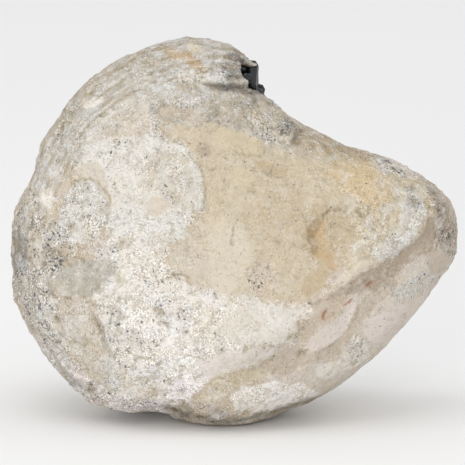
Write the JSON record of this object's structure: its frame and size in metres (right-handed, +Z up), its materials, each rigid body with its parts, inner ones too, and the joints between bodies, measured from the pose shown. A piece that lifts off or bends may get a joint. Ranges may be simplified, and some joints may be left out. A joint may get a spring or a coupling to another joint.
{
  "type": "celestite geode",
  "caption": "Rounded, chalky stone nodule with a blunt nose, broken open at the back on a hollow lined with blue celestite crystals, resting on a small worn flat.",
  "frame": {"origin": "centre of the bounding box's base, on the surface the stone stands on", "axes": "+Z up; +X towards the blunt nose, along the longest side; +Y away from the closed, pale side and towards the open, crystal side"},
  "size_m": [0.1796, 0.1134, 0.1503],
  "materials": {
    "chalky_stone": "matte",
    "celestite": "gloss"
  },
  "bodies": {
    "root": {"rind": "chalky_stone", "crystal_crust": "celestite"}
  },
  "joints": []
}
